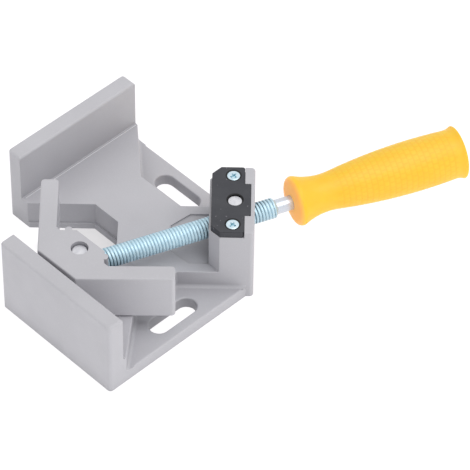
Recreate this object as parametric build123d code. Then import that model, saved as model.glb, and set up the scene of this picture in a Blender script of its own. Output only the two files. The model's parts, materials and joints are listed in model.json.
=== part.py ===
from build123d import *
import os
from math import cos, hypot, radians, sin, sqrt, tan

# Right-angle corner clamp. Lengths are millimetres, angles are degrees.
# The origin is the work corner: the planes of the two fence faces and of the bench meet there.
# +X runs along the near fence, +Y along the far fence, +Z up from the bench.
# "Along" is a distance on the diagonal of the work corner, "across" is to its left.

# Driving sizes of the casting
platform_height = 21.0
fence_reach = 35.0
fence_thickness = 11.0
fence_start = 44.0
fence_length = 96.0
flange_thickness = 8.2
flange_width = 29.4
platform_notch = 36.6
edge_radius = 1.2
fence_top_radius = 1.6
wall_foot_radius = 2.2
rim_radius = 1.0
platform_ear = 1.9
corner_radius = 2.2
skin = 4.5
rib = 3.5
rib_cells = 3

# The passage under the jaw, open at the work corner
passage_half_width = 27.4
passage_end = 91.3
passage_chamfer = 14.5
passage_lip_height = 4.5
passage_lip = 0.8

# Slotted holes in the flanges
slot_width = 13.0
slot_length = 35.4
slot_inset = 13.8
slot_centre = 53.0
slot_rim = 4.0

# The post that carries the swivel nut
post_proud = 3.27
post_front = 15.5
post_back = 12.0
post_half_width = 27.6
post_chamfer = 6.6
post_radius = 2.5
pocket_depth = 1.0
pocket_reach = 39.4
pocket_half_width = 20.6
pocket_chamfer = 12.0
pocket_slant = 10.0

# Cover plate and its screws
plate_thickness = 4.5
plate_inset = 0.3
plate_front = 14.2
plate_back = 5.8
plate_chamfer = 5.5
plate_radius = 1.6
plate_gap = 0.15
tab_reach = 3.7
tab_half_width = 13.3
cover_screw_inset = 7.2
cover_screw_along = -1.2
cover_screw_diameter = 4.0
cover_screw_head = 8.2
cover_screw_length = 16.0
head_sink = 0.2

# Screw, nut and their fits
screw_height = 38.6
screw_diameter = 12.7
thread_length = 121.6
neck_diameter = 9.2
neck_length = 11.0
fit_gap = 0.05
nut_diameter = 20.0
journal_diameter = 9.0
journal_recess = 1.2
journal_depth = 6.0
journal_chamfer = 0.4
seat_gap = 0.3
nut_swing_angle = 26.0

# Nose of the screw, inside the jaw
nose_diameter = 7.0
nose_length = 7.6
barrel_diameter = 10.6
barrel_flat = 4.9
barrel_recess = 2.4
barrel_floor = 4.0
barrel_chamfer = 0.9
washer_diameter = 12.0
washer_thickness = 1.0
ring_diameter = 10.0
ring_thickness = 1.0
groove_depth = 0.8
thrust_gap = 0.1

# Moving jaw
jaw_height = 33.5
jaw_clearance = 0.3
jaw_face = 25.0
jaw_arm_thickness = 10.8
jaw_arm_reach = 57.2
jaw_nose = 18.9
jaw_back = 9.2
jaw_ledge = 15.0
jaw_corner = 2.4
jaw_tip_radius = 2.4
jaw_edge_radius = 0.9
jaw_foot = 1.4
jaw_wall = 3.2
jaw_roof = 5.0
jaw_swing_angle = 22.2
jaw_window_gap = 0.6
nub_radius = 2.3
nub_height = 24.0
nub_place = 6.9

# Handle
handle_front_radius = 12.6
handle_front_rise = 0.5
handle_rim_radius = 15.2
handle_waist_radius = 11.75
handle_join_radius = 12.2
handle_tail_radius = 15.5
handle_flare_radius = 16.8
handle_rim_at = 4.8
handle_waist_at = 22.0
handle_join_at = 27.9
handle_tail_at = 106.5
handle_flare_at = 111.8
handle_length = 114.5
tang_length = 96.0
tang_wing_width = 14.0
tang_wing_thickness = 3.0
tang_wing_length = 9.0
tang_wing_at = 62.0

# Pose at rest: the screw swung to the far side, the jaw turned square to the near fence
screw_swing_angle = 24.0
jaw_turn_angle = 46.0
nose_gap = 2.36

# Places that follow from the sizes above
diagonal_angle = 45.0
fence_top = platform_height + fence_reach
fence_end = fence_start + fence_length
platform_edge = fence_end - flange_width
plate_bottom = fence_top - plate_thickness
plate_half_width = post_half_width - plate_inset
cover_screw_across = post_half_width - cover_screw_inset
nut_reach = (fence_end + post_proud) * sqrt(2) - post_half_width - post_back
nut_centre = Vector(nut_reach * cos(radians(diagonal_angle)), nut_reach * sin(radians(diagonal_angle)), 0)
screw_angle = diagonal_angle + screw_swing_angle
screw_direction = Vector(cos(radians(screw_angle)), sin(radians(screw_angle)), 0)
screw_reach = (nut_centre.Y - jaw_nose - nose_gap) / screw_direction.Y
pivot = nut_centre - screw_direction * screw_reach
jaw_bottom = platform_height + jaw_clearance
jaw_top = jaw_bottom + jaw_height
pocket_floor = platform_height - pocket_depth
shoulder = barrel_flat + washer_thickness + thrust_gap
thread_start = shoulder - screw_reach
thread_end = thread_start + thread_length
handle_start = thread_end + neck_length

on_diagonal = Location((0, 0, 0), (0, 0, diagonal_angle))
screw_frame = Plane(
    origin=nut_centre + Vector(0, 0, screw_height),
    x_dir=(0, 0, 1),
    z_dir=screw_direction,
).location
pivot_frame = Plane(
    origin=pivot + Vector(0, 0, screw_height),
    x_dir=(0, 0, 1),
    z_dir=screw_direction,
).location
jaw_frame = Location((pivot.X, pivot.Y, 0), (0, 0, diagonal_angle + jaw_turn_angle))


def prism(points, low, high):
    """A closed outline raised from one height to another."""
    face = make_face(Polyline(*points, close=True))
    return extrude(Location((0, 0, low)) * face, high - low)


def slab(x_low, x_high, y_low, y_high, z_low, z_high):
    """A block between two values on each axis."""
    size = (x_high - x_low, y_high - y_low, z_high - z_low)
    middle = ((x_high + x_low) / 2, (y_high + y_low) / 2, (z_high + z_low) / 2)
    return Location(middle) * Box(*size)


def bar(x, y, low, high, radius):
    """An upright cylinder."""
    return Location((x, y, (low + high) / 2)) * Cylinder(radius, high - low)


def mirrored(points):
    """An outline that is given on the left of the diagonal, closed by its mirror image."""
    return points + [(along, -across) for along, across in reversed(points)]


def turned(profile):
    """A solid of revolution about local Z from (radius, height) points."""
    face = make_face(Polyline(*[(radius, 0, height) for radius, height in profile], close=True))
    return revolve(face, Axis.Z)


def across_diagonal(solid):
    """The mirror image of a solid on the other side of the work corner's diagonal."""
    return mirror(solid, Plane(origin=(0, 0, 0), z_dir=(-1, 1, 0)))


def passage_outline(inset):
    """The passage seen from above, in diagonal coordinates."""
    half = passage_half_width - inset
    end = passage_end - inset
    return mirrored([(0, half), (end - passage_chamfer, half), (end, half - passage_chamfer)])


def platform_outline():
    """The raised platform, whose edge runs from each fence's end round the flange to the post."""
    half = post_half_width * sqrt(2)
    reach = (nut_reach + post_back) * sqrt(2)
    low = -fence_thickness / 2
    far = [
        (low, low),
        (low, fence_end),
        (platform_ear, fence_end),
        (platform_notch, platform_edge),
        (platform_edge - half, platform_edge),
        ((reach - half) / 2, (reach + half) / 2),
    ]
    near = [(y, x) for x, y in reversed(far[1:])]
    return far + near


def base_outline():
    """The footprint: a square on the outer fence planes, open at the work corner, with the post's foot."""
    low = -fence_thickness
    half = post_half_width * sqrt(2)
    reach = (nut_reach + post_back) * sqrt(2)
    far = [
        (fence_start - flange_width, fence_start),
        (low, fence_start),
        (low, fence_end),
        (fence_end - half, fence_end),
        ((reach - half) / 2, (reach + half) / 2),
    ]
    near = [(y, x) for x, y in reversed(far)]
    return far + near


def fence():
    """The far fence, standing on the base from the work corner's opening to the free edge."""
    block = slab(-fence_thickness, 0, fence_start, fence_end, 0, fence_top)
    outer = block.edges().filter_by(Axis.Z).group_by(Axis.X)[0]
    block = fillet(outer, corner_radius)
    return fillet(block.faces().sort_by(Axis.Z)[-1].edges(), fence_top_radius)


def post_cores():
    """The pockets cored up into the post's two columns from below, beside the nut."""
    inner = nut_diameter / 2 + skin
    outer = post_half_width - skin
    front = nut_reach - post_front + post_chamfer
    back = nut_reach + post_back - skin
    top = fence_top - cover_screw_length - skin
    core = slab(front, back, inner, outer, 0, top)
    return core + mirror(core, Plane.XZ)


def slotted_hole(depth, rim=0.0):
    """A slot along X through the far flange, or the solid rim that is left round it."""
    centre = (slot_centre, fence_end - slot_inset, depth / 2)
    outline = SlotOverall(slot_length + 2 * rim, slot_width + 2 * rim)
    return Location(centre) * extrude(outline, depth / 2, both=True)


def platform_cores():
    """Hollows cored from below the platform, with walls and crossed ribs left between them."""
    roof = platform_height - skin - pocket_depth
    low = fence_start + skin
    edge = platform_edge - skin
    far = [(skin, low), (skin, fence_end - 2 * skin), (platform_notch - skin / 2, edge)]
    near = [(y, x) for x, y in reversed(far)]
    cells = prism([(low, low), *far, (edge, edge), *near], 0, roof)
    cells -= on_diagonal * prism(passage_outline(-skin), 0, roof)
    foot = nut_reach - post_front - skin
    cells -= on_diagonal * slab(foot, 2 * nut_reach, -fence_end, fence_end, 0, roof)
    cells -= on_diagonal * slab(0, nut_reach, -rib / 2, rib / 2, 0, roof)
    pitch = (edge - low) / rib_cells
    for step in range(1, rib_cells):
        middle = low + step * pitch
        cells -= slab(0, fence_end, middle - rib / 2, middle + rib / 2, 0, roof)
        cells -= slab(middle - rib / 2, middle + rib / 2, 0, fence_end, 0, roof)
    return cells


def flange_cores():
    """Shallow hollows under the far flange, clear of its slotted hole."""
    roof = flange_thickness - skin
    block = prism(
        [
            (slot_centre - slot_length - skin, fence_end - skin),
            (platform_notch, platform_edge + skin / 2),
            (platform_edge - post_half_width * sqrt(2), platform_edge + skin / 2),
            (slot_centre + slot_length + skin / 2, fence_end - skin),
        ],
        0,
        roof,
    )
    return block - slotted_hole(roof, slot_rim)


def post_block():
    """The post: an upright block with the jaw-side corners cut off, and a lip behind the plate."""
    front = nut_reach - post_front
    back = nut_reach + post_back
    half = post_half_width
    outline = [(front, half - post_chamfer), (front + post_chamfer, half), (back, half)]
    block = prism(mirrored(outline), 0, fence_top)
    upright = block.edges().filter_by(Axis.Z)
    block = fillet(upright.group_by(Axis.X)[-1], post_radius)
    block = fillet(block.edges().filter_by(Axis.Z).group_by(Axis.X)[:2][0], rim_radius)
    return fillet(block.faces().sort_by(Axis.Z)[-1].edges().sort_by(Axis.X)[-3:], rim_radius)


def plate_outline(gap):
    """The cover plate seen from above, in diagonal coordinates, grown by a gap."""
    front = nut_reach - plate_front
    back = nut_reach + plate_back + gap
    half = plate_half_width
    return mirrored(
        [
            (front, half - plate_chamfer),
            (front + plate_chamfer, half),
            (back, half),
            (back, tab_half_width + gap),
            (back + tab_reach, tab_half_width + gap),
        ]
    )


def plate_seat():
    """What is cut off the post's top so that the plate lies in it, with the lip left standing."""
    front = nut_reach - post_front - plate_thickness
    back = nut_reach + plate_back + plate_gap
    half = post_half_width + plate_thickness
    seat = prism(mirrored([(front, half), (back, half)]), plate_bottom, fence_top + plate_thickness)
    return seat + prism(plate_outline(plate_gap), plate_bottom, fence_top + plate_thickness)


def screw_way():
    """The window for the screw through the post, flared each way for its swing."""
    radius = screw_diameter / 2 + seat_gap
    swing = radians(nut_swing_angle)
    front = post_front + post_radius
    back = post_back + post_radius
    waist = radius / cos(swing)
    points = [
        (nut_reach - front, front * tan(swing) + waist),
        (nut_reach, waist),
        (nut_reach + back, back * tan(swing) + waist),
    ]
    return prism(mirrored(points), screw_height - radius, screw_height + radius)


def platform_pocket():
    """The shallow pocket in the platform in front of the post."""
    end = nut_reach - post_front
    start = nut_reach - pocket_reach
    side = pocket_half_width
    points = [(start, side - pocket_slant), (start + pocket_chamfer, side), (end + post_chamfer, side)]
    return prism(mirrored(points), pocket_floor, platform_height + pocket_depth)


def flange_rounding():
    """What comes off the top outer edge of the far flange, between the platform and the post."""
    low = flange_thickness - edge_radius
    side = fence_end - edge_radius
    end = fence_end - post_half_width * sqrt(2)
    strip = slab(platform_notch / 4, end, side, fence_end, low, flange_thickness)
    place = Location(((platform_notch + end) / 2, side, low), (0, 90, 0))
    return strip - place * Cylinder(edge_radius, 2 * end)


def plinth():
    """Flange and platform in one, with the foot of the platform's wall rounded into the flange."""
    block = prism(base_outline(), 0, platform_height)
    upright = block.edges().filter_by(Axis.Z)
    corners = [e for e in upright if min(e.center().X, e.center().Y) < 0]
    block = fillet([e for e in corners if max(e.center().X, e.center().Y) > slot_centre], corner_radius)
    block = fillet([e for e in upright_edges_beyond(block, 0) if at_fence_start(e)], corner_radius)
    tips = upright_edges_beyond(block, nut_reach + post_back - fit_gap)
    block = fillet(tips, post_radius)
    flange = block & slab(-fence_end, 2 * fence_end, -fence_end, 2 * fence_end, 0, flange_thickness)
    body = flange + (block & prism(platform_outline(), 0, platform_height))
    inner = fence_end - rim_radius
    foot = [e for e in edges_at(body, flange_thickness) if max(e.center().X, e.center().Y) < inner]
    body = fillet([e for e in foot if min(e.center().X, e.center().Y) > platform_ear], wall_foot_radius)
    rim = [e for e in edges_at(body, platform_height) if min(e.center().X, e.center().Y) > platform_ear]
    wall = [e for e in rim if max(e.center().X, e.center().Y) > platform_notch and reach_of(e) < nut_reach]
    return fillet(wall, rim_radius / 2)


def at_fence_start(edge):
    """Does an upright edge stand at the outer corner where a fence starts?"""
    low, high = sorted((edge.center().X, edge.center().Y))
    return abs(low + fence_thickness) < fit_gap and abs(high - fence_start) < fit_gap


def edges_at(solid, height):
    """The edges that lie at one height."""
    return [e for e in solid.edges() if abs(e.center().Z - height) < fit_gap]


def reach_of(edge):
    """How far along the diagonal an edge's middle lies."""
    return (edge.center().X + edge.center().Y) / sqrt(2)


def upright_edges_beyond(solid, reach):
    """The upright edges that lie further than this along the diagonal."""
    return [e for e in solid.edges().filter_by(Axis.Z) if reach_of(e) > reach]


def base_casting():
    """The one casting: base, platform, two fences and the post."""
    casting = plinth() + fence() + across_diagonal(fence())
    casting += on_diagonal * post_block()
    casting -= on_diagonal * prism(passage_outline(0), passage_lip_height, platform_height)
    casting -= on_diagonal * prism(passage_outline(passage_lip), 0, passage_lip_height)
    casting -= on_diagonal * platform_pocket()
    casting -= on_diagonal * plate_seat()
    casting -= on_diagonal * screw_way()
    nut_radius = nut_diameter / 2 + fit_gap
    casting -= bar(nut_centre.X, nut_centre.Y, pocket_floor, plate_bottom, nut_radius)
    journal_radius = journal_diameter / 2 + fit_gap
    casting -= bar(nut_centre.X, nut_centre.Y, pocket_floor - journal_depth, plate_bottom, journal_radius)
    for side in (1, -1):
        hole = bar(
            nut_reach + cover_screw_along,
            side * cover_screw_across,
            fence_top - cover_screw_length - head_sink,
            fence_top,
            cover_screw_diameter / 2 + fit_gap,
        )
        casting -= on_diagonal * hole
    casting -= platform_cores()
    casting -= on_diagonal * post_cores()
    for cut in (slotted_hole(flange_thickness), flange_cores(), flange_rounding()):
        casting -= cut
        casting -= across_diagonal(cut)
    return fillet([e for e in edges_at(casting, flange_thickness) if on_slot_rim(e)], rim_radius)


def on_slot_rim(edge):
    """Does an edge at the height of the flange's top go round one of the slots?"""
    x, y = sorted((edge.center().X, edge.center().Y))
    return hypot(x - slot_centre, y - fence_end + slot_inset) < slot_length / 2 + edge_radius


def cover_plate():
    """The black plate that closes the post over the swivel nut."""
    plate = prism(plate_outline(0), plate_bottom, fence_top)
    back = nut_reach + plate_back
    rounded = [
        e
        for e in plate.edges().filter_by(Axis.Z)
        if e.center().X > back - plate_radius and abs(abs(e.center().Y) - tab_half_width) > plate_radius
        or e.center().X > back + plate_radius
    ]
    plate = fillet(rounded, plate_radius)
    hole = journal_diameter / 2 + fit_gap
    plate -= bar(nut_reach, 0, plate_bottom, fence_top, hole)
    rims = [e for e in edges_at(plate, fence_top) if e.geom_type == GeomType.CIRCLE]
    plate = chamfer([e for e in rims if abs(e.radius - hole) < fit_gap], journal_chamfer)
    for side in (1, -1):
        place = Location((nut_reach + cover_screw_along, side * cover_screw_across, 0))
        plate -= place * screw_seat(fit_gap, fence_top + head_sink)
    return on_diagonal * plate


def screw_seat(radial, head_top):
    """A countersunk screw's shape about its own axis, or the hole it needs in the plate."""
    head = cover_screw_head / 2 + radial
    shank = cover_screw_diameter / 2 + radial
    rim = fence_top - head_sink
    return turned(
        [
            (0, fence_top - cover_screw_length),
            (shank, fence_top - cover_screw_length),
            (shank, rim - head + shank),
            (head, rim),
            (head, head_top),
            (0, head_top),
        ]
    )


def cover_screws():
    """Two countersunk screws, one on each side of the nut."""
    screws = []
    for side in (1, -1):
        place = Location((nut_reach + cover_screw_along, side * cover_screw_across, 0))
        screws.append(on_diagonal * place * screw_seat(0, fence_top - head_sink / 2))
    return Compound(children=screws)


def swivel_nut():
    """The round nut that turns in the post, with a journal at each end and the screw's cross hole."""
    radius = nut_diameter / 2
    journal = journal_diameter / 2
    low = pocket_floor + seat_gap
    high = plate_bottom - seat_gap
    body = turned(
        [
            (0, pocket_floor - journal_depth + seat_gap),
            (journal, pocket_floor - journal_depth + seat_gap),
            (journal, low),
            (radius - journal_chamfer, low),
            (radius, low + journal_chamfer),
            (radius, high - journal_chamfer),
            (radius - journal_chamfer, high),
            (journal, high),
            (journal, fence_top - journal_recess - journal_chamfer),
            (journal - journal_chamfer, fence_top - journal_recess),
            (0, fence_top - journal_recess),
        ]
    )
    body = Location((nut_centre.X, nut_centre.Y, 0)) * body
    return body - screw_frame * Cylinder(screw_diameter / 2 + fit_gap, nut_diameter * 2)


def lead_screw():
    """The screw: nose and groove in the jaw, thread, smooth neck and the tang inside the handle."""
    thread = screw_diameter / 2
    neck = neck_diameter / 2
    nose = nose_diameter / 2
    start = thread_start
    ring_top = -screw_reach - barrel_flat - thrust_gap
    ring_low = ring_top - ring_thickness
    tip = ring_low - (nose_length - barrel_flat - ring_thickness)
    bevel = thread - neck
    end = handle_start + tang_length
    body = turned(
        [
            (0, tip),
            (nose - groove_depth, tip),
            (nose, tip + groove_depth),
            (nose, ring_low),
            (nose - groove_depth, ring_low),
            (nose - groove_depth, ring_top),
            (nose, ring_top),
            (nose, start),
            (thread - journal_chamfer, start),
            (thread, start + journal_chamfer),
            (thread, thread_end - bevel),
            (neck, thread_end),
            (neck, end - bevel),
            (neck - bevel, end),
            (0, end),
        ]
    )
    return screw_frame * (body + tang_wings(0))


def tang_wings(gap):
    """The flattened wings that key the screw in its handle."""
    size = (tang_wing_width + 2 * gap, tang_wing_thickness + 2 * gap, tang_wing_length + 2 * gap)
    return Location((0, 0, handle_start + tang_wing_at)) * Box(*size)


def handle():
    """The moulded handle: slightly domed front, waist, long swell and a flared rear rim."""
    z = handle_start
    tip = (0, 0, z - handle_front_rise)
    rim = (handle_rim_radius, 0, z + handle_rim_at)
    tail = (handle_tail_radius, 0, z + handle_tail_at)
    flare = (handle_flare_radius, 0, z + handle_flare_at)
    join = (handle_join_radius, 0, z + handle_join_at)
    face = TangentArc(tip, (handle_front_radius, 0, z), tangent=(1, 0, 0))
    front = TangentArc((handle_front_radius, 0, z), rim, tangent=face % 1)
    waist = ThreePointArc(rim, (handle_waist_radius, 0, z + handle_waist_at), join)
    swell = TangentArc(join, tail, tangent=waist % 1)
    rise = TangentArc(tail, flare, tangent=(0, 0, 1))
    dome = TangentArc((0, 0, z + handle_length), flare, tangent=(1, 0, 0))
    axis = Line((0, 0, z + handle_length), tip)
    print("handle widest radius", round(swell.bounding_box().max.X, 2))
    body = revolve(make_face([face, front, waist, swell, rise, dome, axis]), Axis.Z)
    bore = Cylinder(neck_diameter / 2 + fit_gap, tang_length + 2 * handle_front_rise)
    bore = Location((0, 0, z + tang_length / 2)) * bore
    return screw_frame * (body - bore - tang_wings(fit_gap))


def jaw_barrel():
    """The upright barrel in the jaw that the screw's nose runs in."""
    radius = barrel_diameter / 2
    low = jaw_bottom + barrel_floor + seat_gap
    high = jaw_top - barrel_recess
    body = turned(
        [
            (0, low),
            (radius - barrel_chamfer, low),
            (radius, low + barrel_chamfer),
            (radius, high - barrel_chamfer),
            (radius - barrel_chamfer, high),
            (0, high),
        ]
    )
    body = Location((pivot.X, pivot.Y, 0)) * body
    body -= pivot_frame * Cylinder(nose_diameter / 2 + fit_gap, barrel_diameter * 2)
    face = washer_diameter / 2 + fit_gap
    for side in (1, -1):
        place = Location((0, 0, side * (barrel_flat + barrel_diameter / 2)))
        body -= pivot_frame * place * Cylinder(face, barrel_diameter)
    return body


def thrust_washer():
    """The washer between the barrel and the shoulder of the thread."""
    disc = Cylinder(washer_diameter / 2, washer_thickness)
    disc -= Cylinder(nose_diameter / 2 + fit_gap, washer_thickness)
    return pivot_frame * Location((0, 0, barrel_flat + washer_thickness / 2)) * disc


def nose_ring():
    """The open ring that snaps into the groove behind the barrel."""
    inner = nose_diameter / 2 - groove_depth
    disc = Cylinder(ring_diameter / 2, ring_thickness) - Cylinder(inner, ring_thickness)
    mouth = Box(ring_diameter, 2 * inner - groove_depth, ring_thickness)
    mouth = Location((-ring_diameter / 2, 0, 0)) * mouth
    place = Location((0, 0, -barrel_flat - thrust_gap - ring_thickness / 2))
    return pivot_frame * place * (disc - mouth)


def jaw_outline(inset):
    """The jaw seen from above. Its arms run along +X and +Y here, and the nose cuts off their corner."""
    face = jaw_face - inset
    inner = jaw_face - jaw_arm_thickness + inset
    reach = jaw_arm_reach - inset
    nose = jaw_nose * sqrt(2) - inset * sqrt(2) - face
    ledge = jaw_ledge - inset
    back = jaw_back * sqrt(2) - inset * sqrt(2)
    half = [
        (nose, -face),
        (reach, -face),
        (reach, -inner),
        (ledge + jaw_corner, -inner),
        (ledge, jaw_corner - inner),
        (ledge, back - ledge),
    ]
    other = [(y, x) for x, y in reversed(half)]
    return [(-x if i == 0 else x, y) for i, (x, y) in enumerate(half)] + [
        (x, -y if i == len(other) - 1 else y) for i, (x, y) in enumerate(other)
    ]


def jaw():
    """The moving jaw, a right-angled casting cored from below."""
    body = prism(jaw_outline(0), jaw_bottom, jaw_top)
    tips = [
        e
        for e in body.edges().filter_by(Axis.Z)
        if max(e.center().X, e.center().Y) > jaw_arm_reach - jaw_tip_radius
    ]
    body = fillet(tips, jaw_tip_radius)
    body = fillet(body.faces().sort_by(Axis.Z)[-1].edges(), jaw_edge_radius) + nubs()
    body = chamfer(body.faces().sort_by(Axis.Z)[0].edges(), jaw_foot)
    core = prism(jaw_outline(jaw_wall), jaw_bottom, jaw_top - jaw_roof)
    guard = bar(0, 0, jaw_bottom, jaw_top, barrel_diameter / 2 + jaw_wall)
    cheek = Location((0, 0, 0), (0, 0, diagonal_angle)) * slab(
        -barrel_diameter / 2, jaw_back, -jaw_back * 2, jaw_back * 2, jaw_bottom, jaw_top
    )
    body -= core - guard - cheek
    turn = Location((0, 0, 0), (0, 0, -diagonal_angle))
    body = turn * body
    bore_floor = jaw_bottom + barrel_floor
    body -= bar(0, 0, bore_floor, jaw_top, barrel_diameter / 2 + fit_gap)
    body -= jaw_window()
    return jaw_frame * body


def jaw_window():
    """The mouth for the screw, wide enough for the jaw to swivel, and the room behind the barrel."""
    half_height = screw_diameter / 2 + jaw_window_gap
    low = screw_height - half_height
    high = screw_height + half_height
    radius = screw_diameter / 2 + jaw_window_gap / 2
    swing = radians(jaw_swing_angle)
    mouth_half = jaw_back * tan(swing) + radius / cos(swing)
    depth = shoulder * cos(swing) - radius * sin(swing) - washer_thickness - jaw_window_gap
    mouth = slab(depth, jaw_back + jaw_face, -mouth_half, mouth_half, low, high)
    behind = nose_length + barrel_flat
    half = ring_diameter / 2 + nose_length * sin(swing) + jaw_window_gap
    room = slab(-behind + ring_thickness, 0, -half, half, jaw_bottom, high)
    return mouth + room


def nubs():
    """The two small cast nubs that stand on the ledges beside the arms."""
    low = jaw_top - nub_height
    places = ((-nub_place, jaw_ledge), (jaw_ledge, -nub_place))
    first, second = (bar(x, y, low, jaw_top, nub_radius) for x, y in places)
    return first + second


def write(name, shape):
    """One file for each separate piece."""
    export_step(shape, os.path.join("parts", name + ".step"))
    print(name, round(sum(solid.volume for solid in shape.solids())))


os.makedirs("parts", exist_ok=True)
write("base_casting", base_casting())
write("cover_plate", cover_plate())
write("cover_screws", cover_screws())
write("swivel_nut", swivel_nut())
write("lead_screw", lead_screw())
write("handle", handle())
write("jaw", jaw())
write("jaw_barrel", jaw_barrel())
write("thrust_washer", thrust_washer())
write("nose_ring", nose_ring())
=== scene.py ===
# %% [markdown]
# # Dressing a corner clamp
# A corner clamp holds two boards at a right angle. The grey castings, the black cover plate and the small
# steel parts already have their true shapes in the frame that this script loads. What is left for Blender
# is what makes them look real: the thread of the screw, the pattern on the grip, the crosses in the screw
# heads, the finishes and the light. The frame's own pieces are never moved.

# %% Load the frame into an empty scene
import json
from math import atan2, ceil, cos, hypot, pi, radians, sin

import bmesh
import bpy
from mathutils import Matrix, Vector

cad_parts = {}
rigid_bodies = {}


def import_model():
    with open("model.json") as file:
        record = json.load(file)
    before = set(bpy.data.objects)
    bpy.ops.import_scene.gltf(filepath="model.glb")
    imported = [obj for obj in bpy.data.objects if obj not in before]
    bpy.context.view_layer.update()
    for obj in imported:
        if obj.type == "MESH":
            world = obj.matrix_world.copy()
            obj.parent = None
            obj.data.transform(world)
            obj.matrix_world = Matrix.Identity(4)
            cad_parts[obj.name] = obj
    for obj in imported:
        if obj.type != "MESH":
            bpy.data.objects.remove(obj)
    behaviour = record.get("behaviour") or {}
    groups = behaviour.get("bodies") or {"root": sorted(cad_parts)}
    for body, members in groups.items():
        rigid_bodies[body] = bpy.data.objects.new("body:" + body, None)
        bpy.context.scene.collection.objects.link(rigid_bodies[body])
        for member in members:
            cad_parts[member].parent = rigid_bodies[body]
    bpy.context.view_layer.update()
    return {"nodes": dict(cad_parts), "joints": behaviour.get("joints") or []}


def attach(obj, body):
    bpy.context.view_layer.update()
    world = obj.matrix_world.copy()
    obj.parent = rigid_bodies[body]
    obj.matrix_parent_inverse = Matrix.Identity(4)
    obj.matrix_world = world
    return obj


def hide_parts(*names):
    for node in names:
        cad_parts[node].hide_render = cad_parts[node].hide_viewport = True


for leftover in list(bpy.data.objects):
    bpy.data.objects.remove(leftover)
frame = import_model()
print("solids of the frame:", sorted(frame["nodes"]))

# %% Places of the joints and of the cover screws
MM = 0.001
SQUARE = ((-1, -1), (1, -1), (1, 1), (-1, 1))
east, north, tall = Vector((1, 0, 0)), Vector((0, 1, 0)), Vector((0, 0, 1))
diagonal = Matrix.Rotation(radians(45), 4, "Z")
joint_spots = {joint["name"]: Vector(joint["pos_m"]) for joint in frame["joints"]}
nut_axis, jaw_axis = joint_spots["nut_swivel"], joint_spots["jaw_swivel"]
nut_reach = nut_axis.xy.length
pair_reach = nut_reach - 1.2 * MM
pair_offset = 20.4 * MM
print("nut stands", round(nut_reach, 5), "m out on the clamp's diagonal")


# %% Helpers for placing
def standing(x_way, y_way, z_way, spot):
    """A placement with its axes along three directions and its origin at a spot."""
    place = Matrix((x_way, y_way, z_way)).transposed().to_4x4()
    place.translation = spot
    return place


def put(name, data):
    """A new object in the scene, at the origin."""
    thing = bpy.data.objects.new(name, data)
    bpy.context.scene.collection.objects.link(thing)
    return thing


# %% [markdown]
# The photo was taken from above the work corner with a long lens, so edges that are parallel on the object
# stay almost parallel in the picture. A camera could be placed by eye, but then no edge would land where it
# should. These angles come from solving the picture's edges, so that edges fall close to their own pixels.

# %% Camera at the photo's angle
azimuth, elevation, roll = radians(45.24), radians(46.79), radians(0.89)
aim = Vector((119.22, 111.70, 30.5)) * MM
stand_off = 2.03733
back = Vector((sin(azimuth) * cos(elevation), -cos(azimuth) * cos(elevation), sin(elevation)))
level = Vector((cos(azimuth), sin(azimuth), 0))
rise = back.cross(level)
right = cos(roll) * level + sin(roll) * rise
up = cos(roll) * rise - sin(roll) * level
camera = put("camera", bpy.data.cameras.new("camera"))
camera.matrix_world = standing(right, up, back, aim + back * stand_off)
camera.data.sensor_fit = "HORIZONTAL"
camera.data.lens = 256.85
camera.data.clip_end = 20
bpy.context.scene.camera = camera
bpy.context.scene.view_settings.view_transform = "Standard"
print("camera stands", round(camera.location.length, 3), "m from the work corner")

# %% [markdown]
# A finish is a small network of nodes. Helpers keep the cells short: one turns the colour that the eye reads
# off a screen into the linear colour that the renderer wants, one sets the inputs of a node or wires them
# up, and the others add the few kinds of node that come back in every finish.

# %% Helpers for nodes
def seen(red, green, blue):
    """A colour as a screen shows it, 0 to 255, turned into the renderer's linear colour."""
    channels = [value / 255 for value in (red, green, blue)]
    return (*[v / 12.92 if v <= 0.04045 else ((v + 0.055) / 1.055) ** 2.4 for v in channels], 1.0)


def wire(node, **inputs):
    """Sets a node's inputs, by name or number, to numbers, colours or another node's output."""
    for socket, value in inputs.items():
        key = int(socket[1:]) if socket[0] == "_" else socket.replace("_", " ")
        if isinstance(value, bpy.types.NodeSocket):
            node.id_data.links.new(value, node.inputs[key])
        else:
            node.inputs[key].default_value = value
    return node


def add(tree, kind, options=None, **inputs):
    """One new node with its options and inputs."""
    node = tree.nodes.new(kind)
    for option, value in (options or {}).items():
        setattr(node, option, value)
    return wire(node, **inputs)


def calc(tree, operation, first, second=0.0, third=0.0):
    """One step of arithmetic."""
    return add(tree, "ShaderNodeMath", {"operation": operation}, _0=first, _1=second, _2=third).outputs[0]


def vector(tree, operation, **inputs):
    """One step of vector arithmetic, as all outputs of its node."""
    return add(tree, "ShaderNodeVectorMath", {"operation": operation}, **inputs).outputs


# %% Helpers for finishes
def new_finish(name):
    """A fresh material, its node tree and its shader."""
    material = bpy.data.materials.new(name)
    material.use_nodes = True
    return material, material.node_tree, material.node_tree.nodes["Principled BSDF"]


def on_piece(tree):
    """The place on the piece, which stays with the piece when it moves."""
    return add(tree, "ShaderNodeTexCoord").outputs["Object"]


def stored(tree, name):
    """An amount that is stored on the mesh, or 0 where the mesh has none."""
    return add(tree, "ShaderNodeAttribute", {"attribute_name": name}).outputs["Fac"]


def grain(tree, scale, detail):
    """Noise fixed to the piece, with scale as specks for each metre."""
    return add(tree, "ShaderNodeTexNoise", Vector=on_piece(tree), Scale=scale, Detail=detail).outputs[0]


def between(tree, amount, low, high, start=0.3, end=0.7):
    """A number that runs from low to high as the amount goes from start to end."""
    return add(tree, "ShaderNodeMapRange", Value=amount, _1=start, _2=end, _3=low, _4=high).outputs[0]


def blended(tree, amount, first, second):
    """A colour between two others."""
    return add(tree, "ShaderNodeMix", {"data_type": "RGBA"}, _0=amount, _6=first, _7=second).outputs[2]


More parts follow.
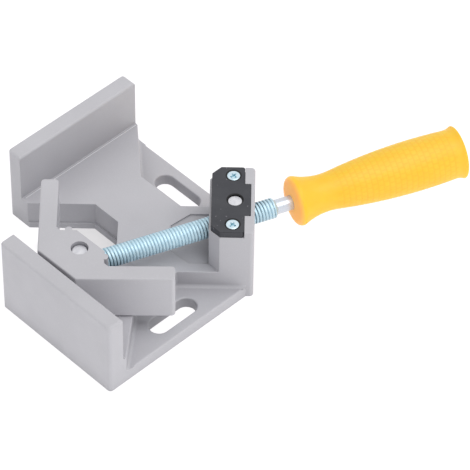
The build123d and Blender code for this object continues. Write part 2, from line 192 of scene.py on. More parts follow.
def rounded_edges(tree, radius):
    """Normals that run round sharp edges as if these had a small radius."""
    return add(tree, "ShaderNodeBevel", {"samples": 6}, Radius=radius).outputs[0]


def leaning(tree, rounded, most):
    """How far a rounded normal leans from the face's own: most at an edge and 0 away from it."""
    face = add(tree, "ShaderNodeNewGeometry").outputs["Normal"]
    alike = vector(tree, "DOT_PRODUCT", _0=rounded, _1=face)["Value"]
    return between(tree, alike, most, 0.0, 0.80, 0.99)


def relief(tree, shader, height, depth, strength, **under):
    """Fine unevenness as bump on a shader, on top of rounded normals where they are given."""
    bump = add(tree, "ShaderNodeBump", Height=height, Distance=depth, Strength=strength, **under)
    wire(shader, Normal=bump.outputs[0])


def looked_at(tree):
    """1 for what the camera sees directly, in a gloss or through glass."""
    path = add(tree, "ShaderNodeLightPath").outputs
    direct = calc(tree, "MAXIMUM", path["Is Camera Ray"], path["Is Glossy Ray"])
    return calc(tree, "MAXIMUM", direct, path["Is Transmission Ray"])


# %% [markdown]
# Product photos stand on a white sweep. The floor here is a pale surface that takes the object's shadow,
# and to the camera it also glows a little, which lifts the bare parts to white. A brighter lamp would do
# that too, but it would wash out the object as well. The floor glows less in the passage under the jaw, where
# the photo shows it grey. Round the object the floor also throws light back at it, as a lit sweep does, so
# the upright sides are nearly as bright as the tops.

# %% White floor
floor_reach, floor_drop = 3.0, 0.2 * MM
floor_mesh = bpy.data.meshes.new("floor")
floor_spots = [(x * floor_reach, y * floor_reach, -floor_drop) for x, y in SQUARE]
floor_mesh.from_pydata(floor_spots, [], [(0, 1, 2, 3)])
floor = put("floor", floor_mesh)


def beyond(tree, centre, reach, soft):
    """0 inside a square on the floor and 1 outside it."""
    away = vector(tree, "SUBTRACT", _0=on_piece(tree), _1=(*centre, 0))[0]
    away = add(tree, "ShaderNodeSeparateXYZ", Vector=vector(tree, "ABSOLUTE", _0=away)[0]).outputs
    far = calc(tree, "MAXIMUM", away[0], away[1])
    return between(tree, far, 0.0, 1.0, reach, reach + soft)


sweep, tree, shader = new_finish("pale_sweep")
tree.nodes.remove(shader)
clamp_middle, passage_middle = (0.065, 0.065), (0.056, 0.072)
bounce = calc(tree, "MULTIPLY", beyond(tree, clamp_middle, reach=0.07, soft=0.02), 0.5)
matt = add(tree, "ShaderNodeBsdfDiffuse", Color=(0.74, 0.74, 0.75, 1)).outputs[0]
thrown_back = add(tree, "ShaderNodeEmission", Strength=bounce).outputs[0]
matt = add(tree, "ShaderNodeAddShader", _0=matt, _1=thrown_back).outputs[0]
thin = add(tree, "ShaderNodeBsdfDiffuse", Color=(0.2, 0.2, 0.205, 1)).outputs[0]
# painted shade: the floor's glow to the camera is lowered in the passage under the jaw, so the floor there
# reads grey as if shaded
outside_passage_shade = beyond(tree, passage_middle, reach=0.03, soft=0.008)
strength = between(tree, outside_passage_shade, 0.6, 0.92, 0.0, 1.0)
glow = add(tree, "ShaderNodeEmission", Color=(1, 0.985, 1, 1), Strength=strength).outputs[0]
lifted = add(tree, "ShaderNodeAddShader", _0=thin, _1=glow).outputs[0]
shown = add(tree, "ShaderNodeMixShader", _0=looked_at(tree), _1=matt, _2=lifted).outputs[0]
wire(tree.nodes["Material Output"], Surface=shown)
floor_mesh.materials.append(sweep)
print("floor is", 2 * floor_reach, "m wide")

# %% [markdown]
# The light in the photo is almost even, with the top and the right a little brighter. A white surrounding
# gives the even part and one very soft lamp gives the direction.

# %% Soft studio light
world = bpy.data.worlds.new("studio")
bpy.context.scene.world = world
world.use_nodes = True
tree = world.node_tree
even_light = add(tree, "ShaderNodeMix", _0=looked_at(tree), _2=0.58, _3=1.0).outputs[0]
wire(tree.nodes["Background"], Color=(1, 1, 1, 1), Strength=even_light)
key_light = put("key_light", bpy.data.lights.new("key_light", "SUN"))
key_light.data.energy = 1.25
key_light.data.angle = radians(50)
lamp_way = level * 0.35 + Vector((back.x, back.y, 0)) * 0.25 + tall
key_light.rotation_euler = lamp_way.to_track_quat("Z", "Y").to_euler()
print("lamp:", key_light.name)

# %% [markdown]
# The castings have an even, satin grey skin with a faint orange-peel surface and slow drifts in tone, and
# their edges get a painted highlight. A bevel in the shader rounds the sharpest edges by a hair, which is
# cheaper than cutting real bevels into every edge of a solid. Corners that the casting itself closes in get
# painted shade, and a mark on the mesh says where a painted highlight lifts the skin along the fence beads.

# %% Grey coat of the castings
coat, tree, shader = new_finish("grey_coat")
tone = blended(tree, between(tree, grain(tree, 26, 4), 0, 1), seen(193, 192, 197), seen(199, 198, 203))
specks = between(tree, grain(tree, 900, 2), 0, 0.25, 0.55, 0.8)
tone = blended(tree, specks, tone, seen(214, 214, 218))
edge = rounded_edges(tree, 0.6 * MM)
patchy = between(tree, grain(tree, 300, 2), 0.55, 1.0)
# painted highlight: a pale line along sharp edges, broken up by noise
painted_edge_highlight = calc(tree, "MULTIPLY", patchy, leaning(tree, edge, 0.85))
tone = blended(tree, painted_edge_highlight, tone, seen(228, 228, 232))
nearby = {"samples": 6, "only_local": True}
# painted shade: corners that the casting itself closes in are darkened
ao_for_painted_shade = add(tree, "ShaderNodeAmbientOcclusion", nearby, Distance=34 * MM).outputs["AO"]
tone = blended(tree, between(tree, ao_for_painted_shade, 0.42, 0.0, 0.35, 0.98), tone, seen(120, 119, 126))
# painted highlight: the fence beads are lifted bright by their mark
tone = blended(tree, stored(tree, "painted_bead_highlight"), tone, seen(232, 232, 236))
roughness = between(tree, grain(tree, 140, 3), 0.42, 0.58)
wire(shader, Base_Color=tone, Roughness=roughness, Specular_IOR_Level=0.4)
relief(tree, shader, grain(tree, 620, 2), 0.03 * MM, 0.5, Normal=edge)
print("finish:", coat.name)

# %% [markdown]
# The cover plate is steel with a satin black coat. It shows a few pale specks of dust and a soft sheen
# along its edges, with a thin line of painted shade on them. The rims of its three holes get painted shadow,
# which darkens them.

# %% Satin black of the cover plate
def painted_hole_shade(tree, along, across, radius):
    """1 close round a hole that is given by its place on the clamp's diagonal, where a painted shadow darkens
    its rim.
    """
    flat = vector(tree, "MULTIPLY", _0=on_piece(tree), _1=(1, 1, 0))[0]
    far = vector(tree, "DISTANCE", _0=flat, _1=diagonal @ Vector((along, across, 0)))["Value"]
    soft = 0.15 * MM
    return between(tree, far, 1.0, 0.0, radius - soft, radius + soft)


satin, tree, shader = new_finish("satin_black")
tone = blended(tree, between(tree, grain(tree, 70, 4), 0, 1), seen(59, 60, 66), seen(69, 70, 75))
dust = between(tree, grain(tree, 420, 1), 0, 0.8, 0.72, 0.76)
tone = blended(tree, dust, tone, seen(120, 118, 124))
nut_hole, screw_hole = 5.3 * MM, 4.9 * MM
holes = (
    (nut_reach, 0, nut_hole), (pair_reach, pair_offset, screw_hole), (pair_reach, -pair_offset, screw_hole),
)
# painted shadow: the rims round the three holes are darkened nearly to black
for out, across, radius in holes:
    tone = blended(tree, painted_hole_shade(tree, out, across, radius), tone, seen(5, 5, 8))
edge = rounded_edges(tree, 0.5 * MM)
# painted shade: a thin dark line is painted along the plate's rounded edges
tone = blended(tree, leaning(tree, edge, 0.9), tone, seen(12, 12, 16))
roughness = between(tree, grain(tree, 260, 3), 0.36, 0.52)
wire(shader, Base_Color=tone, Roughness=roughness, Specular_IOR_Level=0.35)
relief(tree, shader, grain(tree, 1500, 2), 0.02 * MM, 0.4, Normal=edge)
print("finish:", satin.name)

# %% [markdown]
# The screws are plated with zinc, which leaves a pale, slightly blue metal, and the nut, the barrel and the
# washer are plain turned steel. One recipe serves them all, and only its tints, its roughness and the depth
# of its scratches differ. The valleys of a thread get painted light, a paler tint which softens its bands,
# and turned ends are smoother, so they shine more. Both are marks on the mesh that the recipe reads. Where a
# metal is hemmed in, the recipe paints shade.

# %% Metals
def metal_finish(name, light, dark, painted_shade_tone, roughness, scratches, metallic=0.85):
    """A metal with cloudy tone, uneven gloss and fine scratches, with painted shade where it is hemmed in."""
    material, tree, shader = new_finish(name)
    tone = blended(tree, between(tree, grain(tree, 320, 4), 0, 1), seen(*light), seen(*dark))
    # painted light: thread valleys are tinted paler
    valley = between(tree, stored(tree, "valley"), 0.0, 0.85, 0.3, 1.0)
    tone = blended(tree, valley, tone, seen(236, 250, 255))
    turned = stored(tree, "turned")
    tone = blended(tree, turned, tone, seen(212, 220, 231))
    # painted shade: where the metal is hemmed in, its colour darkens towards a shade tone
    ao_for_painted_shade = add(tree, "ShaderNodeAmbientOcclusion", {"samples": 6}, Distance=22 * MM).outputs["AO"]
    tone = blended(tree, between(tree, ao_for_painted_shade, 0.97, 0.0, 0.14, 0.42), tone, seen(*painted_shade_tone))
    uneven = between(tree, grain(tree, 700, 3), *roughness)
    uneven = add(tree, "ShaderNodeMix", _0=turned, _2=uneven, _3=0.26).outputs[0]
    wire(shader, Base_Color=tone, Roughness=uneven, Metallic=metallic)
    relief(tree, shader, grain(tree, 2200, 2), scratches, 0.5)
    print("finish:", name)
    return material


blue_zinc = metal_finish(
    "blue_zinc", light=(208, 234, 245), dark=(190, 220, 234), painted_shade_tone=(50, 84, 100),
    roughness=(0.5, 0.62), scratches=0.02 * MM, metallic=0.5,
)
bright_zinc = metal_finish(
    "bright_zinc", light=(226, 240, 248), dark=(198, 222, 234), painted_shade_tone=(138, 190, 200),
    roughness=(0.2, 0.34), scratches=0.012 * MM,
)
plain_steel = metal_finish(
    "plain_steel", light=(228, 228, 232), dark=(206, 206, 212), painted_shade_tone=(130, 132, 140),
    roughness=(0.34, 0.5), scratches=0.02 * MM,
)
spring_steel = metal_finish(
    "spring_steel", light=(120, 122, 128), dark=(96, 98, 104), painted_shade_tone=(50, 52, 58),
    roughness=(0.3, 0.45), scratches=0.01 * MM,
)

# %% [markdown]
# The handle is moulded in a warm yellow plastic. Light goes a little way into it, so its shaded parts turn
# orange instead of grey. Scattering alone is slow to render and too weak here, so a little orange glow is
# painted on as emission, strongest on the thin front, whose colour is also painted paler. The grooves of the
# grip pattern get a little painted shade, a touch deeper in colour.

# %% Yellow plastic of the handle
yellow, tree, shader = new_finish("yellow_plastic")
painted_glow = stored(tree, "painted_glow")
tone = blended(tree, between(tree, grain(tree, 60, 3), 0, 1), seen(255, 203, 48), seen(255, 208, 62))
# painted shade: the grooves of the grip pattern are tinted a touch deeper
tone = blended(tree, stored(tree, "valley"), tone, seen(255, 198, 50))
# painted light: the thin front is tinted paler
tone = blended(tree, between(tree, painted_glow, 0, 0.6, 0.45, 1.0), tone, seen(232, 182, 126))
# painted light: an orange emission glow, strongest on the thin front, stands in for light scattered in the
# plastic
wire(
    shader,
    Base_Color=tone,
    Roughness=between(tree, grain(tree, 380, 3), 0.4, 0.55),
    Emission_Color=blended(tree, painted_glow, seen(255, 150, 10), seen(255, 150, 50)),
    Emission_Strength=between(tree, painted_glow, 0.07, 0.33, 0.0, 1.0),
    Subsurface_Weight=0.55,
    Subsurface_Radius=(1.0, 0.42, 0.08),
    Subsurface_Scale=4 * MM,
)
relief(tree, shader, grain(tree, 1300, 2), 0.02 * MM, 0.4)
print("finish:", yellow.name)

# %% [markdown]
# A turned part is a profile spun round an axis. Every round piece here is drawn upright along its own axis
# first, and a matrix then lays it where the frame's solid is, so the sizes stay easy to read. Places along
# the screw are measured from the axis of its swivel nut, towards the handle.

# %% The screw's own axis
along = Vector(next(j for j in frame["joints"] if j["name"] == "screw_feed")["axis"]).normalized()
screw_place = standing(tall, along.cross(tall), along, nut_axis)
pivot_reach = (jaw_axis - nut_axis).length
thread_start = -pivot_reach + 6.0 * MM
thread_end = thread_start + 121.6 * MM
handle_start = thread_end + 11.0 * MM
print("screw points along", [round(v, 3) for v in along], "and its handle starts at", round(handle_start, 4))


# %% Helpers for meshes
def in_metres(profile, shift=0.0):
    """A profile of (radius, height) points from millimetres to metres, shifted along its axis."""
    return [(radius * MM, shift + height * MM) for radius, height in profile]


def outward_mesh(name, bm):
    """What was built in bm as a mesh, with all faces turned outwards."""
    bmesh.ops.recalc_face_normals(bm, faces=bm.faces)
    mesh = bpy.data.meshes.new(name)
    bm.to_mesh(mesh)
    bm.free()
    return mesh


def spin(name, profile, steps):
    """A closed mesh from (radius, height) points, the first and last of them on the axis."""
    bm = bmesh.new()
    rings = []
    for radius, height in profile:
        if radius == 0:
            rings.append([bm.verts.new((0, 0, height))])
        else:
            turn = [2 * pi * i / steps for i in range(steps)]
            rings.append([bm.verts.new((radius * cos(a), radius * sin(a), height)) for a in turn])
    for low, high in zip(rings, rings[1:]):
        for i in range(steps):
            j = (i + 1) % steps
            corners = [low[i % len(low)], low[j % len(low)], high[j % len(high)], high[i % len(high)]]
            bm.faces.new(list(dict.fromkeys(corners)))
    return outward_mesh(name, bm)


def joined(name, meshes):
    """Several meshes as one, with open ends capped."""
    bm = bmesh.new()
    for part in meshes:
        bm.from_mesh(part)
    bmesh.ops.holes_fill(bm, edges=[e for e in bm.edges if e.is_boundary], sides=0)
    return outward_mesh(name, bm)


def shade_round(mesh, sharp):
    """Smooth shading, with edges kept crisp where faces meet at more than an angle."""
    mesh.polygons.foreach_set("use_smooth", [True] * len(mesh.polygons))
    mesh.set_sharp_from_angle(angle=radians(sharp))


def dressed(name, mesh, material):
    """A piece with one finish, at the origin."""
    mesh.materials.clear()
    mesh.materials.append(material)
    return put(name, mesh)


# %% [markdown]
# The thread and the grip pattern follow rules, so Geometry Nodes make them. A tree takes its sizes as named
# inputs and hands back real geometry. These helpers build such a tree and then freeze what it made into a
# plain mesh, because a frozen mesh can be measured, moved and exported like any other.

# %% Helpers for Geometry Nodes
def new_tree(name, sizes, counts=()):
    """A tree with named sizes and counts and a finish as inputs."""
    tree = bpy.data.node_groups.new(name, "GeometryNodeTree")
    face = tree.interface
    face.new_socket("Geometry", in_out="INPUT", socket_type="NodeSocketGeometry")
    for size in sizes:
        face.new_socket(size, in_out="INPUT", socket_type="NodeSocketFloat")
    for count in counts:
        face.new_socket(count, in_out="INPUT", socket_type="NodeSocketInt")
    face.new_socket("Finish", in_out="INPUT", socket_type="NodeSocketMaterial")
    face.new_socket("Geometry", in_out="OUTPUT", socket_type="NodeSocketGeometry")
    return tree, add(tree, "NodeGroupInput").outputs


def smooth_step(tree, value, start, end):
    """0 before start, 1 after end, and a soft ramp between."""
    ramp = {"interpolation_type": "SMOOTHSTEP"}
    return add(tree, "ShaderNodeMapRange", ramp, Value=value, _1=start, _2=end, _3=0.0, _4=1.0).outputs[0]


def place_parts(tree):
    """The x, y and z of each point."""
    here = add(tree, "GeometryNodeInputPosition").outputs[0]
    return add(tree, "ShaderNodeSeparateXYZ", Vector=here).outputs


def store(tree, geometry, name, value):
    """Stores an amount on each point, for a finish to read."""
    point_number = {"data_type": "FLOAT", "domain": "POINT"}
    inputs = {"Geometry": geometry, "Name": name, "Value": value}
    return add(tree, "GeometryNodeStoreNamedAttribute", point_number, **inputs).outputs[0]


def close_tree(tree, geometry, finish):
    """Ends a tree in real geometry with its finish on."""
    real = add(tree, "GeometryNodeRealizeInstances", Geometry=geometry).outputs[0]
    finished = add(tree, "GeometryNodeSetMaterial", Geometry=real, Material=finish).outputs[0]
    add(tree, "NodeGroupOutput", Geometry=finished)


def freeze(name, mesh, tree, values):
    """Runs the tree on a mesh and returns what it made as a plain mesh."""
    mould = put(name + "_mould", mesh)
    modifier = mould.modifiers.new(name, "NODES")
    modifier.node_group = tree
    for item in tree.interface.items_tree:
        if item.in_out == "INPUT" and item.name in values:
            modifier[item.identifier] = values[item.name]
    made = bpy.data.meshes.new_from_object(mould.evaluated_get(bpy.context.evaluated_depsgraph_get()))
    mould.modifiers.remove(modifier)
    bpy.data.objects.remove(mould)
    made.name = name
    print(name, "has", len(made.polygons), "faces")
    return made


# %% [markdown]
# A screw thread is one ridge that climbs a little with each turn. The tree takes a flat grid and rolls it
# up: one side of the grid becomes the way round, the other the way along. Each row is slanted by one pitch
# as it goes round, so a row always keeps to the same place on the ridge and the crest stays crisp.

# %% Tree that rolls a thread
sizes = ("Start", "End", "Pitch", "Crest radius", "Depth", "Bevel")
thread_tree, given = new_tree("rolled_thread", sizes, ("Columns", "Rows"))
tree = thread_tree
start, end, one_turn, crest = (given[size] for size in sizes[:4])
counts = {"Vertices_X": given["Columns"], "Vertices_Y": given["Rows"]}
grid = add(tree, "GeometryNodeMeshGrid", Size_X=1.0, Size_Y=1.0, **counts).outputs[0]
flat = place_parts(tree)
turn = calc(tree, "ADD", flat[0], 0.5)
span = calc(tree, "ADD", calc(tree, "SUBTRACT", end, start), calc(tree, "MULTIPLY", one_turn, 2.0))
turns_over = calc(tree, "CEIL", calc(tree, "DIVIDE", span, one_turn))
climb = calc(tree, "MULTIPLY", calc(tree, "ADD", flat[1], 0.5), turns_over)
lowest = calc(tree, "SUBTRACT", start, one_turn)
free = calc(tree, "MULTIPLY_ADD", calc(tree, "ADD", climb, turn), one_turn, lowest)
height = calc(tree, "MINIMUM", calc(tree, "MAXIMUM", free, start), end)
ridge = calc(tree, "MULTIPLY", calc(tree, "PINGPONG", climb, 0.5), 2.0)
flank_foot, flank_top = -0.1, 0.5
valley = calc(tree, "SUBTRACT", 1.0, smooth_step(tree, ridge, flank_foot, flank_top))
radius = calc(tree, "SUBTRACT", crest, calc(tree, "MULTIPLY", given["Depth"], valley))
from_start = calc(tree, "SUBTRACT", height, start)
nearest = calc(tree, "MINIMUM", from_start, calc(tree, "SUBTRACT", end, height))
bevelled = calc(tree, "ADD", calc(tree, "SUBTRACT", crest, given["Bevel"]), nearest)
radius = calc(tree, "MINIMUM", radius, bevelled)
angle = calc(tree, "MULTIPLY", turn, 2 * pi)
rolled = add(
    tree, "ShaderNodeCombineXYZ",
    X=calc(tree, "MULTIPLY", radius, calc(tree, "COSINE", angle)),
    Y=calc(tree, "MULTIPLY", radius, calc(tree, "SINE", angle)),
    Z=height,
).outputs[0]
marked = store(tree, grid, "valley", valley)
shaped = add(tree, "GeometryNodeSetPosition", Geometry=marked, Position=rolled).outputs[0]
welded = add(tree, "GeometryNodeMergeByDistance", Geometry=shaped, Distance=0.002 * MM).outputs[0]
close_tree(tree, welded, given["Finish"])
print("thread tree has", len(tree.nodes), "nodes")

# %% [markdown]
# The lead screw is a half-inch bar with a rolled thread of 12 turns to the inch. Its front end is turned
# down to a nose with a groove, and its back end to a smooth neck that runs into the handle. The thread comes
# from the tree and the turned ends from the spinning helper. The turned ends are smoother and shine more, so
# their points are marked for the finish to see.

# %% Lead screw
pitch = 25.4 * MM / 12
turns = ceil((thread_end - thread_start) / pitch) + 2
rows_each_turn = 12
values = {
    "Start": thread_start, "End": thread_end, "Pitch": pitch, "Crest radius": 6.35 * MM, "Depth": 0.82 * MM,
    "Bevel": 1.75 * MM, "Columns": 65, "Rows": turns * rows_each_turn + 1, "Finish": blue_zinc,
}
thread_mesh = freeze("thread", bpy.data.meshes.new("thread_seed"), thread_tree, values)
nose_radius, groove_radius, neck_radius = 3.5, 2.7, 4.6
nose = [
    (0, -7.7), (groove_radius, -7.7), (nose_radius, -6.9), (nose_radius, -6.0), (groove_radius, -6.0),
    (groove_radius, -5.0), (nose_radius, -5.0), (nose_radius, 6.8), (0, 6.8),
]
neck = [(0, -12.1), (neck_radius, -12.1), (neck_radius, 94.25), (2.85, 96.0), (0, 96.0)]
nose_mesh = spin("nose", in_metres(nose, -pivot_reach), steps=64)
neck_mesh = spin("neck", in_metres(neck, handle_start), steps=64)
screw_mesh = joined("lead_screw_threaded", [thread_mesh, nose_mesh, neck_mesh])
turned_within = (neck_radius + 0.1) * MM
turned = screw_mesh.attributes.new("turned", "FLOAT", "POINT")
turned.data.foreach_set("value", [float(hypot(*v.co.xy) < turned_within) for v in screw_mesh.vertices])
shade_round(screw_mesh, sharp=50)
screw_mesh.transform(screw_place)
screw = dressed("lead_screw_threaded", screw_mesh, blue_zinc)
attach(screw, "screw")
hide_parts("lead_screw")
print("thread has", turns, "turns")

# %% [markdown]
# The handle's outline is made of arcs that run smoothly into each other: a rounded front, a narrow waist
# for the fingers, a long swell for the palm and a flared tail. Each arc starts in the direction in which the
# last one ended, which is what makes a moulded part look smooth.

# %% Helpers for an outline of arcs
def tangent_arc(start, heading, end, steps):
    """Points of the arc that leaves start in a direction and reaches end, and its last direction."""
    chord = end - start
    normal = Vector((-heading.y, heading.x))
    reach = chord.length_squared / (2 * chord.dot(normal))
    centre = start + normal * reach
    sweep = 2 * atan2(heading.x * chord.y - heading.y * chord.x, heading.dot(chord))
    spots = []
    for i in range(1, steps + 1):
        turn = Matrix.Rotation(sweep * i / steps, 2)
        spots.append(centre + turn @ (start - centre))
    return spots, Matrix.Rotation(sweep, 2) @ heading


def three_point_centre(a, b, c):
    """The centre of the circle through three points."""
    d = 2 * (a.x * (b.y - c.y) + b.x * (c.y - a.y) + c.x * (a.y - b.y))
    squares = [p.length_squared for p in (a, b, c)]
    x = (squares[0] * (b.y - c.y) + squares[1] * (c.y - a.y) + squares[2] * (a.y - b.y)) / d
    y = (squares[0] * (c.x - b.x) + squares[1] * (a.x - c.x) + squares[2] * (b.x - a.x)) / d
    return Vector((x, y))


# %% Outline of the handle
front, rim, waist, join, tail, flare = (
    Vector(p) for p in ((12.6, 0), (15.2, 4.8), (11.75, 22.0), (12.2, 27.9), (15.5, 106.5), (16.8, 111.8))
)
outwards, backwards = Vector((1, 0)), Vector((0, 1))
bore_radius, bore_end, tail_end = 4.65, 96.5, 114.5
outline = [Vector((0, bore_end)), Vector((bore_radius, bore_end)), Vector((bore_radius, -0.43))]
face, heading = tangent_arc(Vector((0, -0.5)), outwards, front, steps=12)
outline += [spot for spot in face if spot.x > bore_radius + 0.05]
outline += tangent_arc(front, heading, rim, steps=12)[0]
middle = three_point_centre(rim, waist, join)
sweep = (rim - middle).angle(join - middle)
side = 1 if (rim - middle).cross(join - middle) > 0 else -1
waist_steps = 26
for i in range(1, waist_steps + 1):
    outline.append(middle + Matrix.Rotation(side * sweep * i / waist_steps, 2) @ (rim - middle))
heading = Matrix.Rotation(side * pi / 2, 2) @ (join - middle).normalized()
outline += tangent_arc(join, heading, tail, steps=170)[0]
outline += tangent_arc(tail, backwards, flare, steps=12)[0]
dome = tangent_arc(Vector((0, tail_end)), outwards, flare, steps=14)[0][:-1]
outline += [*reversed(dome), Vector((0, tail_end))]
print("widest radius", round(max(p.x for p in outline), 2), "mm")

# %% [markdown]
# The grip is covered with small pads set like bricks. The tree sinks a shallow groove round each pad. The
# pattern starts softly at the waist and ends before the tail. The tree also marks how deep in the thin front
# a point lies, which is where the handle's finish paints a glow for the light that shines through the
# plastic.

# %% Tree that sinks the grip pattern
sizes = ("From", "To", "Fade", "Pad length", "Height", "Painted glow depth")
grip_tree, given = new_tree("grip_pads", sizes, ("Pads round",))
tree = grip_tree
groove_bottom, groove_edge = 0.02, 0.16
place = place_parts(tree)
row = calc(tree, "DIVIDE", calc(tree, "SUBTRACT", place[2], given["From"]), given["Pad length"])
shift = calc(tree, "MULTIPLY", calc(tree, "FLOORED_MODULO", calc(tree, "FLOOR", row), 2.0), 0.5)
way_round = calc(tree, "MULTIPLY", calc(tree, "ARCTAN2", place[1], place[0]), given["Pads round"])
way_round = calc(tree, "ADD", calc(tree, "DIVIDE", way_round, 2 * pi), shift)
across = smooth_step(tree, calc(tree, "PINGPONG", way_round, 0.5), groove_bottom, groove_edge)
lengthwise = smooth_step(tree, calc(tree, "PINGPONG", row, 0.5), groove_bottom, groove_edge)
starts = smooth_step(tree, place[2], given["From"], calc(tree, "ADD", given["From"], given["Fade"]))
fade_out = calc(tree, "MULTIPLY", given["Fade"], 0.3)
full_until = calc(tree, "SUBTRACT", given["To"], fade_out)
zone = calc(tree, "MULTIPLY", starts, smooth_step(tree, place[2], given["To"], full_until))
bore_clear = 9 * MM
squares = calc(tree, "MULTIPLY_ADD", place[0], place[0], calc(tree, "MULTIPLY", place[1], place[1]))
outside = calc(tree, "GREATER_THAN", calc(tree, "SQRT", squares), bore_clear)
zone = calc(tree, "MULTIPLY", zone, outside)
pad = calc(tree, "MULTIPLY", across, lengthwise)
groove = calc(tree, "MULTIPLY", calc(tree, "SUBTRACT", 1.0, pad), zone)
sideways = add(tree, "ShaderNodeCombineXYZ", X=place[0], Y=place[1]).outputs[0]
outward = vector(tree, "NORMALIZE", _0=sideways)[0]
sunk = calc(tree, "MULTIPLY", groove, calc(tree, "MULTIPLY", given["Height"], -1.0))
push = vector(tree, "SCALE", _0=outward, Scale=sunk)[0]
marked = store(tree, given["Geometry"], "valley", groove)
# marks where the handle's finish paints its glow and paler front
marked = store(tree, marked, "painted_glow", smooth_step(tree, place[2], given["Painted glow depth"], 0.0))
patterned = add(tree, "GeometryNodeSetPosition", Geometry=marked, Offset=push).outputs[0]
close_tree(tree, patterned, given["Finish"])
print("grip tree has", len(tree.nodes), "nodes")

# %% Handle
smooth_handle = spin("handle_blank", in_metres(outline), steps=224)
values = {
    "From": 22 * MM, "To": 107 * MM, "Fade": 8 * MM, "Pad length": 3.7 * MM, "Height": 0.11 * MM,
    "Painted glow depth": 4.5 * MM, "Pads round": 28, "Finish": yellow,
}
handle_mesh = freeze("handle_grip", smooth_handle, grip_tree, values)
shade_round(handle_mesh, sharp=50)
handle_mesh.transform(screw_place @ Matrix.Translation((0, 0, handle_start)))
handle = dressed("handle_grip", handle_mesh, yellow)
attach(handle, "screw")
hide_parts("handle")

# %% [markdown]
# Two small countersunk screws hold the cover plate. Their heads have the usual cross recess, which is cut
# here by taking two tapered wings out of a turned blank. One screw is made, and a tree sets it in both
# places.

# %% One cover screw
def wing(width, thickness, depth, top):
    """A tapered blade, wide at the top, that cuts one bar of the cross."""
    above, foot = 0.3, 0.4
    corners = []
    for height, share in ((top + above, 1.0), (top - depth, foot)):
        half_width = width * share / 2
        half_thickness = thickness * (0.55 + 0.45 * share) / 2
        corners += [(x * half_width, y * half_thickness, height) for x, y in SQUARE]
    bm = bmesh.new()
    spots = [bm.verts.new(Vector(c) * MM) for c in corners]
    for loop in ((0, 1, 2, 3), (7, 6, 5, 4), (0, 4, 5, 1), (1, 5, 6, 2), (2, 6, 7, 3), (3, 7, 4, 0)):
        bm.faces.new([spots[i] for i in loop])
    return outward_mesh("wing", bm)


shank_radius, head_top = 2.0, 0.1
head_profile = [
    (0, -15.9), (1.6, -15.9), (shank_radius, -15.5), (shank_radius, -2.2),
    (3.8, -0.4), (3.95, -0.2), (3.9, 0.0), (3.7, head_top), (0, head_top),
]
blank = put("screw_blank", spin("screw_blank", in_metres(head_profile), steps=48))
cutters = []
for bar_angle in (0, 90):
    mesh = wing(width=5.2, thickness=1.3, depth=1.5, top=head_top)
    mesh.transform(Matrix.Rotation(radians(bar_angle), 4, "Z"))
    cutter = put("cutter", mesh)
    cut = blank.modifiers.new("cross", "BOOLEAN")
    cut.operation, cut.object, cut.solver = "DIFFERENCE", cutter, "EXACT"
    cutters.append(cutter)
one_screw = bpy.data.meshes.new_from_object(blank.evaluated_get(bpy.context.evaluated_depsgraph_get()))
for spent in (blank, *cutters):
    bpy.data.objects.remove(spent)
shade_round(one_screw, sharp=30)
print("cover screw has", len(one_screw.polygons), "faces")

# %% Tree that sets the pair of screws
pair_tree, given = new_tree("screw_pair", ("Spacing",))
tree = pair_tree
half = calc(tree, "MULTIPLY", given["Spacing"], 0.5)
first = add(tree, "ShaderNodeCombineXYZ", Y=calc(tree, "MULTIPLY", half, -1.0)).outputs[0]
step = add(tree, "ShaderNodeCombineXYZ", Y=given["Spacing"]).outputs[0]
two_spots = {"Count": 2, "Start_Location": first, "Offset": step}
places = add(tree, "GeometryNodeMeshLine", {"mode": "OFFSET"}, **two_spots).outputs[0]
index = add(tree, "GeometryNodeInputIndex").outputs[0]
first_angle, angle_step = radians(52), radians(-12)
angle = calc(tree, "MULTIPLY_ADD", index, angle_step, first_angle)
twist = add(tree, "ShaderNodeCombineXYZ", Z=angle).outputs[0]
screws = {"Points": places, "Instance": given["Geometry"], "Rotation": twist}
pair = add(tree, "GeometryNodeInstanceOnPoints", **screws).outputs[0]
close_tree(tree, pair, given["Finish"])
values = {"Spacing": 2 * pair_offset, "Finish": bright_zinc}
pair_mesh = freeze("cover_screw_pair", one_screw, pair_tree, values)
head_height = 55.8 * MM
pair_mesh.transform(diagonal @ Matrix.Translation((pair_reach, 0, head_height)))
pair_piece = dressed("cover_screw_pair", pair_mesh, bright_zinc)
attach(pair_piece, "base")
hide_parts("cover_screws")

# %% [markdown]
# A casting keeps a thin raised line where two parts of its mould met, here along the root of each fence.
# Its colour is lifted by a painted highlight. Such a bead is one outline that follows a path: the tree takes
# the outline and sweeps it along a straight run of the right length.

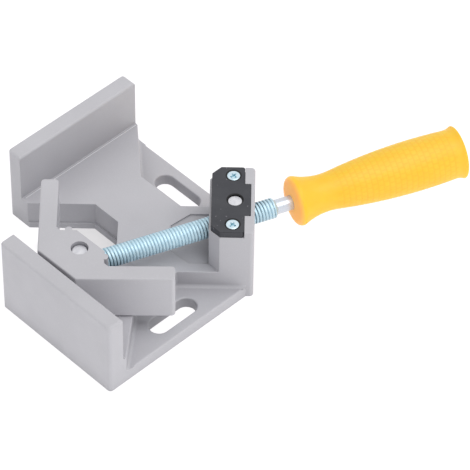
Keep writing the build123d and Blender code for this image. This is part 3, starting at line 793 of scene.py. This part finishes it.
# %% Tree that sweeps a bead
bead_tree, given = new_tree("mould_bead", ("Length",))
tree = bead_tree
bead_outline = add(tree, "GeometryNodeMeshToCurve", Mesh=given["Geometry"]).outputs[0]
run_end = add(tree, "ShaderNodeCombineXYZ", Z=given["Length"]).outputs[0]
run = add(tree, "GeometryNodeCurvePrimitiveLine", Start=(0, 0, 0), End=run_end).outputs[0]
swept = add(tree, "GeometryNodeCurveToMesh", Curve=run, Profile_Curve=bead_outline, Fill_Caps=True).outputs[0]
# painted highlight: every point of the bead is marked for the coat to lift it bright
close_tree(tree, store(tree, swept, "painted_bead_highlight", 1.0), given["Finish"])
print("bead tree has", len(tree.nodes), "nodes")

# %% Beads along both fences
bead_half, bead_off, bed = 0.28 * MM, 1.5 * MM, 21 * MM
bead_from, bead_to = 46 * MM, 139.6 * MM
bead_length = bead_to - bead_from
bend_steps, hump_rise, hump_sunk = 6, 0.7, 0.1
bend = [pi * i / bend_steps for i in range(bend_steps + 1)]
hump = [(bead_half * cos(a), bead_half * (hump_rise * sin(a) - hump_sunk), 0) for a in bend]
bead_ring = bpy.data.meshes.new("bead_outline")
bead_ring.from_pydata(hump, [(i, (i + 1) % len(hump)) for i in range(len(hump))], [])
bead_mesh = freeze("bead", bead_ring, bead_tree, {"Length": bead_length, "Finish": coat})
for name, run_way, away in (("bead_far_fence", north, east), ("bead_near_fence", east, north)):
    mesh = joined(name, [bead_mesh])
    bead_spot = run_way * bead_from + away * bead_off + tall * bed
    mesh.transform(standing(tall.cross(run_way), tall, run_way, bead_spot))
    shade_round(mesh, sharp=60)
    bead = dressed(name, mesh, coat)
    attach(bead, "base")
print("beads are", round(2 * bead_half / MM, 2), "mm wide and", round(bead_length / MM, 1), "mm long")

# %% [markdown]
# The solids that keep their own shape only need their finish. Their slots are filled here, and nothing of
# the metal is left in the plain colour that it came with.

# %% Finishes on the frame's own solids
finishes = {
    "base_casting": coat, "jaw": coat, "cover_plate": satin, "swivel_nut": plain_steel,
    "jaw_barrel": plain_steel, "thrust_washer": plain_steel, "nose_ring": spring_steel,
}
for node, material in finishes.items():
    for slot in frame["nodes"][node].material_slots:
        slot.material = material
print("dressed:", sorted(finishes))
